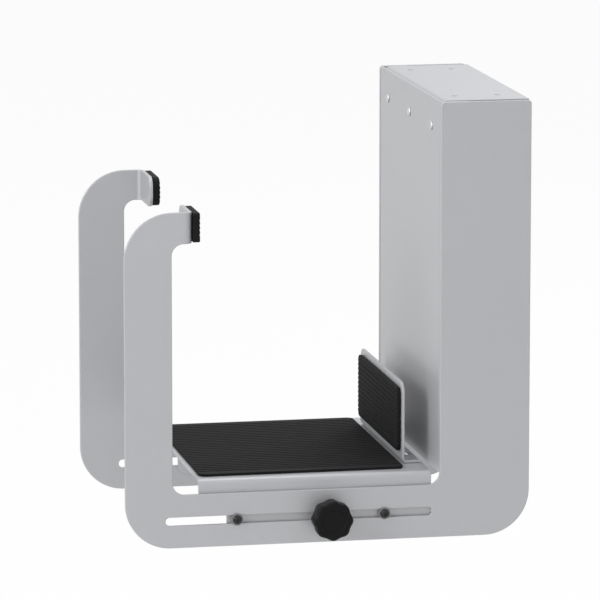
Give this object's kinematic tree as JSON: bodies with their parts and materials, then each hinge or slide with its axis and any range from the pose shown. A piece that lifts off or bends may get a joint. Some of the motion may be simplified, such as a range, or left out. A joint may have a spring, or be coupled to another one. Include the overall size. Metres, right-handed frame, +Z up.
{
  "type": "computer holder",
  "caption": "Under-desk holder for a tower computer: two C-shaped sheet-steel end plates on a folded side panel, with a sliding tray locked by a hand knob",
  "frame": {"origin": "middle of the flat face that goes against the underside of the desktop", "axes": "+X along the desk, away from the open side; +Y to the back, away from the knob; +Z up"},
  "size_m": [0.34, 0.272, 0.364],
  "materials": {
    "silver_coat": "light silver-grey satin powder coat",
    "black_rubber": "matt black rubber",
    "black_plastic": "moulded black plastic, light texture",
    "grey_nylon": "smooth grey nylon",
    "black_steel": "blackened steel",
    "zinc_steel": "bright zinc plate",
    "brass": "turned brass"
  },
  "bodies": {
    "frame": {"front_plate": "silver_coat", "rear_plate": "silver_coat", "side_panel": "silver_coat", "mount_bracket": "silver_coat", "hook_pad_front": "black_rubber", "hook_pad_rear": "black_rubber", "bracket_rivet_1": "zinc_steel", "bracket_rivet_2": "zinc_steel", "bracket_rivet_3": "zinc_steel"},
    "carriage": {"tray": "silver_coat", "tray_mat": "black_rubber", "side_stop": "silver_coat", "stop_pad": "black_rubber", "stop_rivet_1": "zinc_steel", "stop_rivet_2": "zinc_steel", "clamp_bolt": "zinc_steel", "guide_screw_front_left": "black_steel", "guide_bush_front_left": "grey_nylon", "guide_nut_front_left": "zinc_steel", "guide_screw_front_right": "black_steel", "guide_bush_front_right": "grey_nylon", "guide_nut_front_right": "zinc_steel", "guide_screw_rear_left": "black_steel", "guide_bush_rear_left": "grey_nylon", "guide_nut_rear_left": "zinc_steel", "guide_screw_rear_right": "black_steel", "guide_bush_rear_right": "grey_nylon", "guide_nut_rear_right": "zinc_steel"},
    "washer": {"clamp_washer": "zinc_steel"},
    "knob": {"clamp_knob": "black_plastic", "knob_insert": "brass"}
  },
  "joints": [
    {"name": "tray_slide", "type": "slide", "parent": "frame", "child": "carriage", "axis": [1, 0, 0], "range_m": [-0.055, 0.005]},
    {"name": "knob_travel", "type": "slide", "parent": "carriage", "child": "washer", "axis": [0, -1, 0], "range_m": [0, 0.002]},
    {"name": "knob_turn", "type": "hinge", "parent": "washer", "child": "knob", "pos_m": [-0.132, -0.1237, -0.34175], "axis": [0, -1, 0], "range_deg": [0, 720]}
  ],
  "couplings": [
    {"joint": "knob_travel", "follows": "knob_turn", "m_per_rad": 0.000159}
  ]
}
